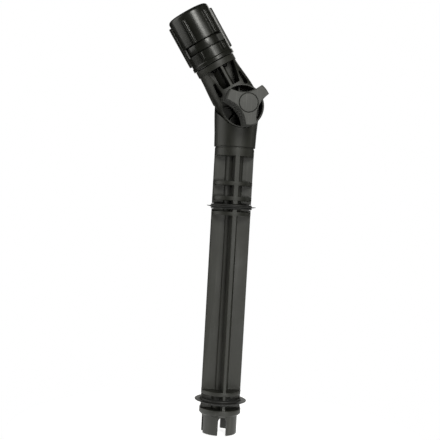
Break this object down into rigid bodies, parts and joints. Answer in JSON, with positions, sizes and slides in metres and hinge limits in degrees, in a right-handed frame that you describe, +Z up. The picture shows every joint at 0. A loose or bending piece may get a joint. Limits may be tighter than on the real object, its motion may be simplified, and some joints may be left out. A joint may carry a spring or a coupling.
{
  "type": "gimbal rod holder adapter",
  "caption": "Notched gimbal mast with rubber centring rings, tilting toothed head, three-lobe clamp knob and a turning collar that locks a splined rod holder post.",
  "frame": {"origin": "centre of the notched spigot's lower end, on the mast's axis, where the gimbal pin holds it", "axes": "+Z up along the mast, -Y towards the clamp knob, the head leans towards -X"},
  "size_m": [0.0948, 0.0714, 0.4097],
  "materials": {
    "black_nylon": "satin moulded glass-filled nylon",
    "black_gloss": "semi-gloss moulded nylon",
    "black_rubber": "matte rubber",
    "grey_nylon": "satin moulded nylon",
    "stainless": "stainless steel",
    "brass": "machined brass"
  },
  "bodies": {
    "mast": {"mast": "black_nylon", "lower_centring_ring": "black_rubber", "upper_centring_ring": "black_rubber", "pivot_bolt": "stainless", "pivot_spring": "stainless", "stop_nut": "stainless"},
    "head": {"arm": "black_nylon", "socket_insert": "black_nylon", "stop_tab": "black_nylon", "seal_ring": "black_rubber", "retaining_ring": "stainless", "socket_screw_1": "stainless", "socket_screw_2": "stainless", "socket_screw_3": "stainless", "socket_screw_4": "stainless"},
    "collar": {"lock_collar": "black_gloss"},
    "washer": {"thrust_washer": "stainless"},
    "knob": {"knob": "grey_nylon", "knob_cap": "grey_nylon", "knob_insert": "brass"}
  },
  "joints": [
    {"name": "head_tilt", "type": "hinge", "parent": "mast", "child": "head", "pos_m": [0.0017, 0, 0.3135], "axis": [0, 1, 0], "range_deg": [-12.27, 77.73]},
    {"name": "collar_turn", "type": "hinge", "parent": "head", "child": "collar", "pos_m": [0.0017, 0, 0.3135], "axis": [-0.5406, 0, 0.8413], "range_deg": [0, 108]},
    {"name": "knob_advance", "type": "slide", "parent": "mast", "child": "washer", "axis": [0, -1, 0], "range_m": [0, 0.003]},
    {"name": "knob_turn", "type": "hinge", "parent": "washer", "child": "knob", "pos_m": [0.0017, 0, 0.3135], "axis": [0, -1, 0], "range_deg": [0, 720]}
  ],
  "couplings": [
    {"joint": "knob_advance", "follows": "knob_turn", "m_per_rad": 0.00023873}
  ]
}
